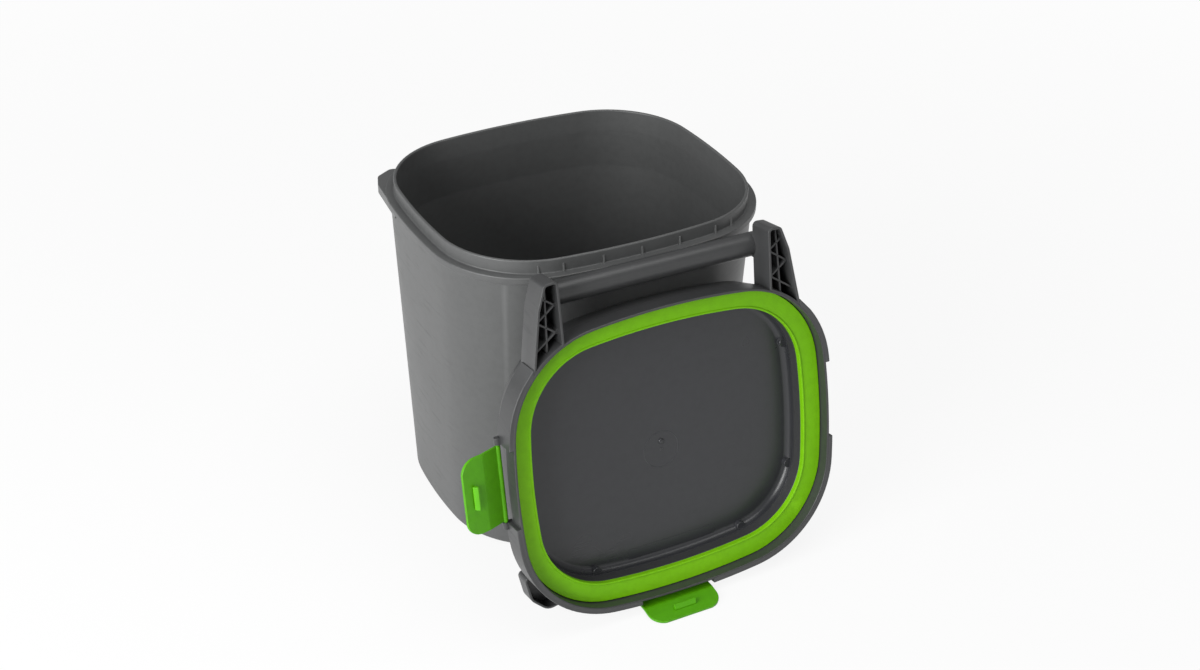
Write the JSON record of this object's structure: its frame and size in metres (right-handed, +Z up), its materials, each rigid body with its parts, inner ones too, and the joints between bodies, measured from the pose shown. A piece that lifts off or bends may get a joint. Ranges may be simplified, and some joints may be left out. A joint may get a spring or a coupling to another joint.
{
  "type": "bokashi bin",
  "caption": "Rounded rectangular compost bucket with a drain tap and grid, its clip-on lid leaning open against the front by its bar handle.",
  "frame": {"origin": "centre of the bin's flat base, on the surface it stands on", "axes": "+Z up, -Y towards the front where the tap is and the lid leans, +X to the right seen from the front"},
  "size_m": [0.3413, 0.3744, 0.3013],
  "materials": {
    "charcoal_plastic": "fine satin moulded plastic, dark charcoal grey",
    "lime_plastic": "semi-gloss moulded plastic, lime green",
    "lime_rubber": "smooth soft rubber, lime green",
    "grid_plastic": "matte moulded plastic, dark grey",
    "tap_plastic": "gloss moulded plastic, black",
    "black_rubber": "matte black rubber"
  },
  "bodies": {
    "bin": {"bin_body": "charcoal_plastic", "tap_body": "tap_plastic", "tap_nut": "tap_plastic", "tap_seal_outer": "black_rubber", "tap_seal_inner": "black_rubber"},
    "grid": {"drain_grid": "grid_plastic"},
    "tap_lever": {"tap_plug": "lime_plastic", "tap_plug_seal": "black_rubber", "tap_clip": "tap_plastic"},
    "lid": {"lid_shell": "charcoal_plastic", "lid_panel": "charcoal_plastic", "lid_handle": "charcoal_plastic", "lid_seal": "lime_rubber"},
    "latch_left": {"latch_left": "lime_plastic"},
    "latch_right": {"latch_right": "lime_plastic"},
    "latch_rear": {"latch_rear": "lime_plastic"}
  },
  "joints": [
    {"name": "lid_swing", "type": "hinge", "parent": "bin", "child": "lid", "pos_m": [0, -0.15916, 0.29022], "axis": [1, 0, 0], "range_deg": [-258.56, 0]},
    {"name": "grid_lift", "type": "slide", "parent": "bin", "child": "grid", "axis": [0, 0, 1], "range_m": [0, 0.24]},
    {"name": "tap_turn", "type": "hinge", "parent": "bin", "child": "tap_lever", "pos_m": [0, -0.14694, 0.024], "axis": [0, 0, 1], "range_deg": [0, 90]},
    {"name": "latch_left_hinge", "type": "hinge", "parent": "lid", "child": "latch_left", "pos_m": [-0.1482, -0.17848, 0.13889], "axis": [0, -0.1983, -0.9801], "range_deg": [-66, 109]},
    {"name": "latch_right_hinge", "type": "hinge", "parent": "lid", "child": "latch_right", "pos_m": [0.1482, -0.17848, 0.13889], "axis": [0, 0.1983, 0.9801], "range_deg": [-170, 5]},
    {"name": "latch_rear_hinge", "type": "hinge", "parent": "lid", "child": "latch_rear", "pos_m": [-0.009, -0.20589, 0.00344], "axis": [1, 0, 0], "range_deg": [-8, 167]}
  ]
}
